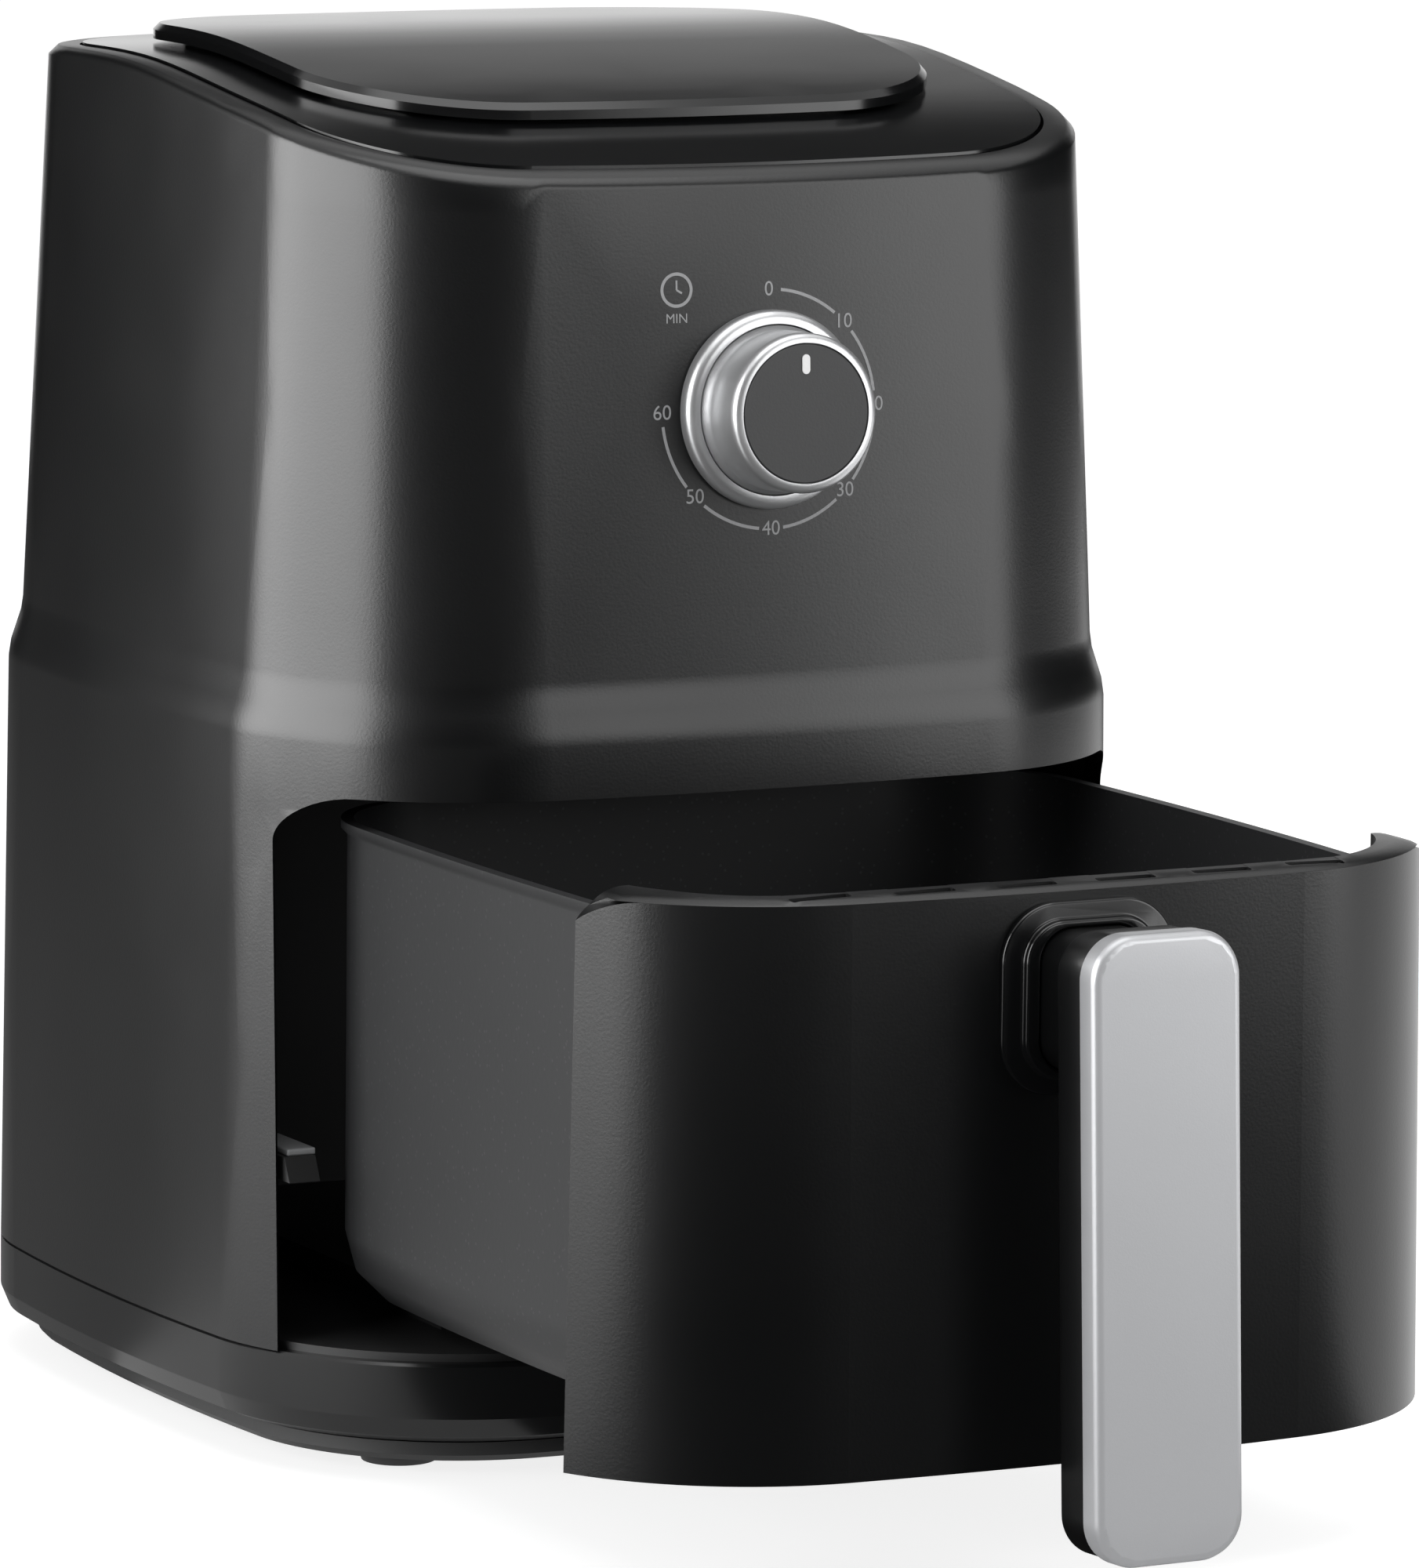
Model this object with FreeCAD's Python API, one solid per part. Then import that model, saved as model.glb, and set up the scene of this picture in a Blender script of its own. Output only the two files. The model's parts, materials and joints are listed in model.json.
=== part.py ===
import FreeCAD, Part
import math
import os

Vector = FreeCAD.Vector

# Body outline, measured at the seam above the plinth (millimetres)
half_width = 127.5
half_depth = 130.7
corner_radius = 68.7
crown_radius = 775.0
body_wall = 2.6
lower_draft = 0.013
upper_draft = 0.046

# Heights stacked up from the table
foot_height = 4.0
foot_radius = 11.0
foot_taper = 1.5
foot_inset_x = 43.5
foot_inset_y = 44.7
plinth_lift = 6.0
plinth_height = 21.0
plinth_deck = 3.0
plinth_edge = 7.0
base_thickness = 5.0
runner_height = 6.7
pan_depth = 125.0
panel_rise = 5.0
cap_rise = 1.9
shoulder_above_opening = 13.2
shoulder_height = 16.0
shoulder_step = 3.8
upper_height = 145.8

# Lid crown, seen from the side: drops below the flat back part
crown_flat_front = 15.0
crown_step_place = -28.0
crown_step_drop = 4.9
crown_rest_place = -50.0
crown_rest_drop = 7.9
crown_nose_inset = 34.7
crown_nose_drop = 16.2
crown_front_drop = 27.9
rim_width = 8.0
rim_thickness = 3.5
rim_bevel = 2.4
lid_groove = 0.8
lid_thickness = 6.0
lid_proud = 0.6
cap_side_inset = 25.0
cap_front_inset = 43.0
cap_back_inset = 22.0
cap_corner_radius = 48.0
cap_foot_inset = 8.0
cap_height = 5.2
cap_shadow_gap = 1.2
cap_bevel = 1.6

# Clearances
part_gap = 0.4
slide_gap = 0.3
running_gap = 0.3
hub_gap = 0.05
overcut = 1.0

# Drawer bay
opening_side = 8.6
opening_corner = 12.7
liner_wall = 2.0
liner_headroom = 3.2
liner_back_room = 24.7
liner_corner = 50.0
liner_crown = 20000.0
runner_place = 70.0
runner_width = 8.0
guide_height = 6.0
guide_above_floor = 41.0
guide_reach = 8.5
hot_air_hole = 80.0

# Drawer
drawer_pull = 157.2
panel_gap = 0.7
panel_wall = 3.0
panel_depth = 40.7
pan_side_room = 15.5
pan_front_room = 12.7
pan_back_room = 9.0
pan_corner = 38.0
pan_crown = 1500.0
pan_wall = 1.6
pan_fillet = 20.0
pan_lip = 1.6
pan_lip_height = 2.2
vent_slot_length = 16.0
vent_slot_width = 3.4
vent_slot_pitch = 27.0
vent_slot_count = 6

# Crisper tray
tray_gap = 3.0
tray_wall = 1.5
tray_lift_height = 18.0
tray_rim_height = 4.0
tray_hole_radius = 4.5
tray_hole_pitch = 22.0
tray_leg_place = 55.0
bumper_radius = 5.0

# Handle
handle_half_width = 20.0
handle_length = 150.0
handle_top_drop = 4.5
handle_reach_top = 39.0
handle_reach_bottom = 46.0
handle_corner = 11.0
plate_thickness = 7.0
plate_bevel = 2.2
grip_thickness = 14.0
grip_inset = 0.6
neck_half_width = 14.0
neck_height = 34.0
neck_top_drop = 8.4
neck_corner = 8.0
escutcheon_side = 9.5
escutcheon_end = 6.2
escutcheon_side_step = 5.5
escutcheon_end_step = 4.2
escutcheon_proud = 2.0

# Timer dial
dial_above_shoulder = 65.8
bezel_radius = 25.0
bezel_inner_radius = 21.6
bezel_proud = 4.0
bezel_round = 2.0
knob_base_radius = 21.2
knob_tip_radius = 20.0
knob_length = 19.6
knob_foot = 1.2
knob_edge = 1.0
disc_radius = 17.5
disc_recess = 1.4
pointer_width = 2.1
pointer_length = 4.9
pointer_place = 12.3
timer_shaft_radius = 3.0
timer_half_width = 23.0
timer_depth = 26.0
timer_bevel = 3.8
timer_collar_radius = 4.6

# Heater, fans and motor, stacked on the bay's roof
housing_radius = 91.0
housing_wall = 1.2
housing_height = 46.0
housing_flange = 8.0
coil_radius = 78.0
coil_tube_radius = 3.3
coil_pitch = 9.0
coil_turns = 2
coil_lift = 9.0
clip_height = 3.0
clip_width = 6.0
clip_reach = 36.0
clip_angles = (30, 150, 270)
fan_radius = 64.0
fan_height = 18.0
fan_hub_radius = 9.0
fan_blades = 12
fan_blade_angle = 20
fan_lift = 18.0
blade_thickness = 1.2
fan_shaft_radius = 3.0
bracket_height = 8.0
bracket_radius = 38.0
bracket_angles = (90, 210, 330)
motor_radius = 32.0
motor_height = 38.0
motor_neck = 4.8
cooling_fan_radius = 44.0
cooling_fan_height = 12.0
cooling_fan_blades = 7
cooling_blade_angle = 30
cooling_half_chord = 9.6
cooling_fan_lift = 8.0
thermostat_radius = 9.0
thermostat_height = 8.0
sensor_place = 62.0
switch_length = 20.0
switch_height = 14.0
switch_width = 9.0

# Rear outlet grille and cord gland
grille_half_width = 48.0
grille_height = 52.0
grille_above_shoulder = 24.0
grille_slot_count = 13
grille_slot_width = 3.4
grille_frame = 5.0
gland_radius = 8.0
gland_flange = 2.5
gland_bevel = 1.0
gland_bore = 3.8
gland_above_plinth = 26.0
screw_head_radius = 3.6
screw_head_height = 2.2
screw_place = 22.0
intake_slot_count = 7
intake_slot_pitch = 9.0
intake_slot_width = 4.0
intake_slot_length = 70.0

# Places that follow from the body's outline
foot_place_x = half_width - foot_inset_x
foot_place_y = half_depth - foot_inset_y
opening_half_width = half_width - opening_side
liner_back = half_depth - liner_back_room
panel_back = panel_depth - half_depth
pan_half_width = opening_half_width - pan_side_room
pan_front = pan_front_room - half_depth
pan_back = liner_back - pan_back_room
pan_middle = (pan_back + pan_front) / 2
pan_half_depth = (pan_back - pan_front) / 2

# Heights that follow from the stack
base_bottom = foot_height
plinth_bottom = base_bottom + plinth_lift
plinth_top = plinth_bottom + plinth_height
floor_top = plinth_top + liner_wall
pan_bottom = floor_top + runner_height + slide_gap
pan_rim = pan_bottom + pan_depth
panel_bottom = plinth_top + panel_gap
panel_top = pan_rim + panel_rise
opening_top = panel_top + cap_rise + 3 * slide_gap
ceiling = opening_top + liner_headroom
bay_roof = ceiling + liner_wall
shoulder_z = opening_top + shoulder_above_opening
shoulder_top = shoulder_z + shoulder_height
crown_top = shoulder_top + upper_height
crown_limit = crown_top + 3 * rim_width
clear_sky = crown_limit - crown_top + 2 * crown_front_drop
dial_z = shoulder_top + dial_above_shoulder
housing_top = bay_roof + housing_height
motor_base = housing_top + bracket_height
motor_top = motor_base + motor_height


def box(low_x, high_x, low_y, high_y, low_z, high_z):
    return Part.makeBox(high_x - low_x, high_y - low_y, high_z - low_z, Vector(low_x, low_y, low_z))


def cylinder(radius, low_z, high_z, x=0.0, y=0.0):
    return Part.makeCylinder(radius, high_z - low_z, Vector(x, y, low_z))


def crowned_outline(half_x, half_y, radius, crown, z, middle_y=0.0):
    """A rounded rectangle with bowed sides: eight tangent arcs."""
    front_centre = Vector(0, crown - half_y, 0)
    right_centre = Vector(half_x - crown, 0, 0)
    halfway = (front_centre + right_centre) * 0.5
    across = front_centre - right_centre
    reach = math.sqrt((crown - radius) ** 2 - (across.Length / 2) ** 2)
    outward = Vector(across.y, -across.x, 0).normalize()
    corner = halfway + outward * reach
    to_front = (corner - front_centre).normalize()
    to_right = (corner - right_centre).normalize()
    front_end = corner + to_front * radius
    right_end = corner + to_right * radius
    corner_middle = corner + (to_front + to_right).normalize() * radius

    def place(point, sign_x, sign_y):
        return Vector(sign_x * point.x, sign_y * point.y + middle_y, z)

    front = Vector(0, -half_y, 0)
    right = Vector(half_x, 0, 0)
    arcs = []
    for points in (
        ((front_end, -1, 1), (front, 1, 1), (front_end, 1, 1)),
        ((front_end, 1, 1), (corner_middle, 1, 1), (right_end, 1, 1)),
        ((right_end, 1, 1), (right, 1, 1), (right_end, 1, -1)),
        ((right_end, 1, -1), (corner_middle, 1, -1), (front_end, 1, -1)),
        ((front_end, 1, -1), (front, 1, -1), (front_end, -1, -1)),
        ((front_end, -1, -1), (corner_middle, -1, -1), (right_end, -1, -1)),
        ((right_end, -1, -1), (right, -1, 1), (right_end, -1, 1)),
        ((right_end, -1, 1), (corner_middle, -1, 1), (front_end, -1, 1)),
    ):
        arcs.append(Part.Arc(*[place(*point) for point in points]).toShape())
    return Part.Wire(arcs)


def body_outline(inset, z):
    half_x = half_width - inset
    half_y = half_depth - inset
    return crowned_outline(half_x, half_y, corner_radius - inset, crown_radius - inset, z)


def loft(wires):
    return Part.makeLoft(wires, True, True)


def body_inset(z):
    """How far the body has drawn in at a height, from draft and shoulder."""
    lower = lower_draft * (min(z, shoulder_z) - plinth_top)
    if z <= shoulder_z:
        return lower
    travel = min(1.0, (z - shoulder_z) / shoulder_height)
    step = shoulder_step * (3 * travel ** 2 - 2 * travel ** 3)
    return lower + step + upper_draft * max(0.0, z - shoulder_top)


def body_block(extra, low, high, shoulder_steps=1):
    """The body's drafted form, drawn in by an extra inset, between two heights."""
    rise = shoulder_height / shoulder_steps
    bends = [shoulder_z + rise * step for step in range(shoulder_steps + 1)]
    heights = [low] + [z for z in bends if low < z < high] + [high]
    return loft([body_outline(body_inset(z) + extra, z) for z in heights])


def crown_sheet(low, high):
    """A slab between two copies of the lid's side curve, running across the body."""
    reach = half_depth + rim_width
    nose = crown_nose_inset - half_depth
    spots = [
        (-reach, crown_front_drop),
        (nose, crown_nose_drop),
        (crown_rest_place, crown_rest_drop),
        (crown_step_place, crown_step_drop),
        (crown_flat_front, 0.0),
        ((crown_flat_front + reach) / 2, 0.0),
        (reach, 0.0),
    ]

    def curve(shift):
        spline = Part.BSplineCurve()
        side = -half_width - rim_width
        spline.interpolate([Vector(side, y, crown_top - drop + shift) for y, drop in spots])
        return spline.toShape()

    lower = curve(low)
    upper = curve(high)
    front = Part.makeLine(lower.Vertexes[0].Point, upper.Vertexes[0].Point)
    back = Part.makeLine(lower.Vertexes[-1].Point, upper.Vertexes[-1].Point)
    face = Part.Face(Part.Wire(Part.__sortEdges__([lower, back, upper, front])))
    return face.extrude(Vector(2 * (half_width + rim_width), 0, 0))


def rounded_rectangle(half_x, low, high, radius, y):
    """A rounded rectangle in a plane across Y."""
    diagonal = radius * (1 - math.sqrt(0.5))
    left, right = -half_x, half_x
    pieces = [
        Part.makeLine(Vector(left + radius, y, low), Vector(right - radius, y, low)),
        Part.Arc(Vector(right - radius, y, low), Vector(right - diagonal, y, low + diagonal),
                 Vector(right, y, low + radius)).toShape(),
        Part.makeLine(Vector(right, y, low + radius), Vector(right, y, high - radius)),
        Part.Arc(Vector(right, y, high - radius), Vector(right - diagonal, y, high - diagonal),
                 Vector(right - radius, y, high)).toShape(),
        Part.makeLine(Vector(right - radius, y, high), Vector(left + radius, y, high)),
        Part.Arc(Vector(left + radius, y, high), Vector(left + diagonal, y, high - diagonal),
                 Vector(left, y, high - radius)).toShape(),
        Part.makeLine(Vector(left, y, high - radius), Vector(left, y, low + radius)),
        Part.Arc(Vector(left, y, low + radius), Vector(left + diagonal, y, low + diagonal),
                 Vector(left + radius, y, low)).toShape(),
    ]
    return Part.Wire(pieces)


def arch_prism(half_x, low, high, radius, low_y, high_y):
    """A tunnel along Y with square lower and round upper corners."""
    whole = Part.Face(rounded_rectangle(half_x, low - 2 * radius, high, radius, low_y))
    tunnel = whole.extrude(Vector(0, high_y - low_y, 0))
    return tunnel.common(box(-half_x, half_x, low_y, high_y, low, high))


def turned(profile, x=0.0, y=0.0):
    """A solid of revolution about a vertical axis from (radius, height) points."""
    points = [Vector(radius, 0, height) for radius, height in profile]
    face = Part.Face(Part.makePolygon(points + points[:1]))
    solid = face.revolve(Vector(0, 0, 0), Vector(0, 0, 1), 360)
    solid.translate(Vector(x, y, 0))
    return solid


def round_over(radius, steps):
    """Offsets (inwards, endwards) round a quarter circle, from the side to the end."""
    angles = [math.pi / 2 * step / steps for step in range(steps + 1)]
    return [(radius * (1 - math.cos(angle)), radius * (1 - math.sin(angle))) for angle in angles]


def bevel_top(solid, size):
    """Bevel the edges of the large face that looks up."""
    def upward_area(face):
        u_low, u_high, v_low, v_high = face.ParameterRange
        return face.Area * face.normalAt((u_low + u_high) / 2, (v_low + v_high) / 2).z

    top = max(solid.Faces, key=upward_area)
    return solid.makeChamfer(size, top.Edges)


def hexagon(radius, low_z, high_z, x=0.0, y=0.0):
    """A six-sided prism standing on a flat."""
    corners = []
    for side in range(6):
        angle = math.radians(60 * side)
        corners.append(Vector(x + radius * math.cos(angle), y + radius * math.sin(angle), low_z))
    return Part.Face(Part.makePolygon(corners + corners[:1])).extrude(Vector(0, 0, high_z - low_z))


def on_dial(shape):
    """Stand a shape that was made about Z on the drafted front wall."""
    tilt = math.atan(upper_draft)
    normal = Vector(0, -math.cos(tilt), math.sin(tilt))
    centre = Vector(0, body_inset(dial_z) - half_depth, dial_z)
    stand = FreeCAD.Placement(centre, FreeCAD.Rotation(Vector(0, 0, 1), normal))
    placed = shape.copy()
    placed.Placement = stand.multiply(shape.Placement)
    return placed


# Outer shell: one drafted moulding with a soft shoulder and a rolled-in rim
above_rim = crown_sheet(0, clear_sky)
body_form = body_block(0, plinth_top, crown_limit, 4)
opening = arch_prism(opening_half_width, plinth_top - overcut, opening_top, opening_corner,
                     -2 * half_depth, panel_back / 2)
grille_low = shoulder_top + grille_above_shoulder
grille_high = grille_low + grille_height
gland_z = plinth_top + gland_above_plinth


def make_outer_shell():
    shell = bevel_top(body_form.cut(above_rim), rim_bevel)
    hollow = body_block(body_wall, plinth_top - overcut, crown_limit)
    hollow = hollow.cut(crown_sheet(-rim_thickness, clear_sky))
    shell = shell.cut(hollow)
    shell = shell.cut(body_block(rim_width, shoulder_top, crown_limit))
    shell = shell.cut(opening)
    shell = shell.cut(on_dial(cylinder(timer_collar_radius + part_gap, -timer_depth, timer_depth)))
    shell = shell.cut(box(-grille_half_width, grille_half_width, 0, 2 * half_depth, grille_low, grille_high))
    hole_start = Vector(0, half_depth / 2, gland_z)
    hole = Part.makeCylinder(gland_radius + slide_gap, half_depth, hole_start, Vector(0, 1, 0))
    return shell.cut(hole)


# Plinth: a glossy skirt with a rolled lower edge and a closed deck under the drawer bay
def make_plinth():
    sections = [(inset, plinth_bottom + up) for inset, up in reversed(round_over(plinth_edge, 2))]
    sections.append((0, plinth_top - panel_gap))
    sections.append((panel_gap, plinth_top))
    skirt = loft([body_outline(inset, z) for inset, z in sections])
    pocket_inset = plinth_edge + body_wall
    heights = (plinth_bottom - overcut, plinth_top - plinth_deck)
    pocket = loft([body_outline(pocket_inset, z) for z in heights])
    return skirt.cut(pocket)


# Base plate: closes the plinth from below, with bosses up to the deck and intake slots
def foot_places():
    return [(sx * foot_place_x, sy * foot_place_y) for sx in (-1, 1) for sy in (-1, 1)]


def screw_places():
    return [(x - math.copysign(screw_place, x), y) for x, y in foot_places()]


def make_base_plate():
    inset = plinth_edge + body_wall + part_gap
    top = base_bottom + base_thickness
    chamfer = base_thickness / 3
    plate = loft([
        body_outline(inset + chamfer, base_bottom),
        body_outline(inset, base_bottom + chamfer),
        body_outline(inset, top),
    ])
    for x, y in foot_places():
        half = foot_radius / 2
        plate = plate.fuse(box(x - half, x + half, y - half, y + half, top, plinth_top - plinth_deck))
    middle = (intake_slot_count - 1) / 2
    for row in range(intake_slot_count):
        y = (row - middle) * intake_slot_pitch
        plate = plate.cut(box(-intake_slot_length / 2, intake_slot_length / 2, y - intake_slot_width / 2,
                              y + intake_slot_width / 2, base_bottom - overcut, top + overcut))
    pocket_top = base_bottom + screw_head_height
    for x, y in screw_places():
        pocket = hexagon(screw_head_radius + part_gap, base_bottom - overcut, pocket_top, x, y)
        plate = plate.cut(pocket)
    return plate


def make_foot(x, y):
    return Part.makeCone(foot_radius - foot_taper, foot_radius, foot_height, Vector(x, y, 0))


def make_base_screws():
    head_top = base_bottom + screw_head_height
    heads = []
    for x, y in screw_places():
        heads.append(hexagon(screw_head_radius, base_bottom + slide_gap, head_top, x, y))
    return Part.Compound(heads)


# Lid: a ledge sprung in under the rim, and the raised cap on it with a shadow gap
def make_top_ledge():
    insert = body_block(rim_width + lid_groove, shoulder_top, crown_limit)
    insert = insert.common(crown_sheet(-lid_thickness, lid_proud))
    flange = body_block(body_wall + part_gap, shoulder_top, crown_limit)
    flange = flange.common(crown_sheet(-lid_thickness, -rim_thickness - slide_gap))
    return insert.fuse(flange)


def cap_block(extra):
    top_inset = body_inset(crown_top)
    front = top_inset + cap_front_inset + extra - half_depth
    back = half_depth - top_inset - cap_back_inset - extra
    half_x = half_width - top_inset - cap_side_inset - extra
    radius = cap_corner_radius - extra
    half_y = (back - front) / 2
    middle_y = (back + front) / 2
    heights = (shoulder_top, crown_limit)
    return loft([crowned_outline(half_x, half_y, radius, crown_radius, z, middle_y) for z in heights])


def make_top_cap():
    low = lid_proud + cap_shadow_gap
    cap = cap_block(0).common(crown_sheet(low, lid_proud + cap_height))
    cap = bevel_top(cap, cap_bevel)
    pedestal = cap_block(cap_foot_inset).common(crown_sheet(lid_proud + slide_gap, low + cap_bevel / 2))
    return cap.fuse(pedestal)


# Drawer bay: a sheet liner with a round hot-air hole in its roof
def bay_plan(inset, low, high):
    """The bay's plan: straight sides, round back corners and an open front, as a block."""
    half_x = opening_half_width - slide_gap - inset
    front = -half_depth - liner_back
    back = liner_back - inset
    half_y = (back - front) / 2
    middle_y = (back + front) / 2
    radius = liner_corner - inset
    return loft([crowned_outline(half_x, half_y, radius, liner_crown, z, middle_y) for z in (low, high)])


def bay_block(inset, low, high):
    arch = arch_prism(opening_half_width, low, high, opening_corner, -2 * half_depth, 2 * half_depth)
    return arch.common(bay_plan(inset, low, high))


def make_inner_liner():
    liner = bay_block(0, plinth_top, bay_roof).cut(bay_block(liner_wall, floor_top, ceiling))
    liner = liner.common(body_block(panel_wall + 2 * slide_gap, plinth_top, shoulder_z))
    return liner.cut(cylinder(hot_air_hole, ceiling - overcut, bay_roof + overcut))


def bar_along_y(low_x, high_x, low_z, high_z):
    """A bar down the bay with a lead-in ramp at its front end."""
    front = panel_back + slide_gap
    ramp = (high_z - low_z) / 2
    back = liner_back - liner_wall
    points = [(front, low_z), (back, low_z), (back, high_z), (front + ramp, high_z)]
    corners = [Vector(low_x, y, z) for y, z in points]
    face = Part.Face(Part.makePolygon(corners + corners[:1]))
    bar = face.extrude(Vector(high_x - low_x, 0, 0))
    return bar.common(bay_plan(liner_wall, low_z, high_z))


def make_drawer_runners():
    strips = []
    half = runner_width / 2
    for x in (-runner_place, runner_place):
        strips.append(bar_along_y(x - half, x + half, floor_top, pan_bottom - slide_gap))
    return Part.Compound(strips)


def make_side_guides():
    wall = opening_half_width - slide_gap - liner_wall
    low = floor_top + guide_above_floor
    left = bar_along_y(-wall, guide_reach - wall, low, low + guide_height)
    right = bar_along_y(wall - guide_reach, wall, low, low + guide_height)
    return Part.Compound([left, right])


# Heater: a domed housing on the bay's roof, a flat spiral element and its clips
coil_z = bay_roof + coil_lift


def make_heater_housing():
    outer = housing_radius + housing_wall
    shaft_hole = fan_shaft_radius * 2
    return turned([
        (housing_radius, bay_roof),
        (outer + housing_flange, bay_roof),
        (outer + housing_flange, bay_roof + housing_wall),
        (outer, bay_roof + housing_wall),
        (outer, housing_top),
        (shaft_hole, housing_top),
        (shaft_hole, housing_top - housing_wall),
        (housing_radius, housing_top - housing_wall),
    ])


def make_heating_element():
    coil = None
    radius = coil_radius
    side = 1
    start = coil_radius
    for half_turn in range(2 * coil_turns):
        centre = Vector(start - side * radius, 0, coil_z)
        corners = []
        for corner in range(6):
            angle = math.radians(60 * corner)
            corners.append(Vector(start + coil_tube_radius * math.cos(angle), 0,
                                  coil_z + coil_tube_radius * math.sin(angle)))
        section = Part.Face(Part.makePolygon(corners + corners[:1]))
        half_ring = section.revolve(centre, Vector(0, 0, 1), 180)
        coil = half_ring if coil is None else coil.fuse(half_ring)
        start -= 2 * side * radius
        radius -= coil_pitch / 2
        side = -side
    return coil


def make_element_clips():
    low = coil_z + coil_tube_radius * math.sin(math.pi / 3) + slide_gap
    outer = housing_radius - slide_gap
    clips = []
    for angle in clip_angles:
        clip = box(outer - clip_reach, outer, -clip_width / 2, clip_width / 2, low, low + clip_height)
        clip = clip.fuse(box(outer - clip_height, outer, -clip_width / 2, clip_width / 2,
                             bay_roof, low + clip_height))
        clip.rotate(Vector(0, 0, 0), Vector(0, 0, 1), angle)
        clips.append(clip)
    return Part.Compound(clips)


# Air drive: one shaft through the motor, hot-air fan below it and cooling fan above it
fan_low = bay_roof + fan_lift
cooling_low = motor_top + cooling_fan_lift


def make_hot_air_fan():
    top = fan_low + fan_height
    fan = cylinder(fan_hub_radius, fan_low, top)
    fan = fan.fuse(cylinder(fan_radius, top - blade_thickness, top))
    blade_root = 2 * fan_hub_radius
    for number in range(fan_blades):
        blade = box(blade_root, fan_radius, -blade_thickness / 2, blade_thickness / 2, fan_low, top)
        blade.rotate(Vector(blade_root, 0, 0), Vector(0, 0, 1), -fan_blade_angle)
        blade.rotate(Vector(0, 0, 0), Vector(0, 0, 1), 360 * number / fan_blades)
        fan = fan.fuse(blade)
    fan = fan.common(cylinder(fan_radius, fan_low, top))
    return fan.cut(cylinder(fan_shaft_radius + hub_gap, fan_low - overcut, top + overcut))


def make_fan_shaft():
    return cylinder(fan_shaft_radius, fan_low, cooling_low + cooling_fan_height + slide_gap)


def make_cooling_fan():
    top = cooling_low + cooling_fan_height
    fan = cylinder(fan_hub_radius, cooling_low, top)
    for number in range(cooling_fan_blades):
        blade = box(fan_hub_radius / 2, cooling_fan_radius, -cooling_half_chord, cooling_half_chord,
                    -blade_thickness / 2, blade_thickness / 2)
        blade.rotate(Vector(0, 0, 0), Vector(1, 0, 0), cooling_blade_angle)
        blade.translate(Vector(0, 0, (cooling_low + top) / 2))
        blade.rotate(Vector(0, 0, 0), Vector(0, 0, 1), 360 * number / cooling_fan_blades)
        fan = fan.fuse(blade)
    return fan.cut(cylinder(fan_shaft_radius + hub_gap, cooling_low - overcut, top + overcut))


def make_motor():
    boss = fan_hub_radius
    bore = fan_shaft_radius + running_gap
    return turned([
        (bore, motor_base),
        (motor_radius, motor_base),
        (motor_radius, motor_top - 2 * motor_neck),
        (motor_radius - motor_neck, motor_top - motor_neck),
        (boss, motor_top - motor_neck),
        (boss, motor_top),
        (bore, motor_top),
    ])


def make_motor_bracket():
    plate_low = motor_base - blade_thickness * 2
    bracket = cylinder(bracket_radius, plate_low, motor_base)
    bracket = bracket.cut(cylinder(fan_hub_radius, plate_low - overcut, motor_base + overcut))
    for angle in bracket_angles:
        tab = box(bracket_radius - clip_width, bracket_radius, -clip_width / 2, clip_width / 2,
                  housing_top, motor_base)
        tab.rotate(Vector(0, 0, 0), Vector(0, 0, 1), angle)
        bracket = bracket.fuse(tab)
    return bracket.common(cylinder(bracket_radius, housing_top, motor_base))


# Controls and guards that sit out of sight
def make_thermostat():
    return cylinder(thermostat_radius, housing_top, housing_top + thermostat_height, sensor_place, 0)


def make_thermal_fuse():
    low = housing_top
    half = thermostat_height / 4
    start = -sensor_place - thermostat_radius
    length = 2 * thermostat_radius
    saddle = box(start, start + length, -half, half, low, low + half)
    tube_z = low + 2 * half - part_gap
    tube = Part.makeCylinder(half, length, Vector(start, 0, tube_z), Vector(1, 0, 0))
    return saddle.fuse(tube)


def make_drawer_switch():
    back = -hot_air_hole - housing_flange
    low_x = runner_place
    high_x = runner_place + switch_length
    block = box(low_x, high_x, back - switch_width, back, bay_roof, bay_roof + switch_height)
    lug = box(low_x - switch_width / 2, high_x + switch_width / 2, back - switch_width, back,
              bay_roof, bay_roof + housing_wall)
    return block.fuse(lug)


def make_timer_unit():
    front = -body_wall - 2 * part_gap
    back = front - timer_depth
    case = box(-timer_half_width, timer_half_width, -timer_half_width, timer_half_width, back, front)
    long_edges = [edge for edge in case.Edges if edge.BoundBox.ZLength > timer_depth / 2]
    case = case.makeChamfer(timer_bevel, long_edges)
    case = case.fuse(cylinder(timer_collar_radius, front, 0))
    bore = cylinder(timer_shaft_radius + running_gap, back + body_wall, timer_depth)
    return on_dial(case.cut(bore))


# Dial: a fixed ring, a turned knob on the timer's shaft, its inset disc and its pointer
def make_dial_bezel():
    profile = [(bezel_inner_radius, -body_wall), (bezel_radius, -body_wall)]
    for inward, down in round_over(bezel_round, 2):
        profile.append((bezel_radius - inward, bezel_proud - down))
    profile.append((bezel_inner_radius, bezel_proud))
    return on_dial(turned(profile)).cut(body_form)


disc_seat = knob_length - disc_recess


def make_timer_shaft():
    return on_dial(cylinder(timer_shaft_radius, body_wall - timer_depth, knob_length / 2))


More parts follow.
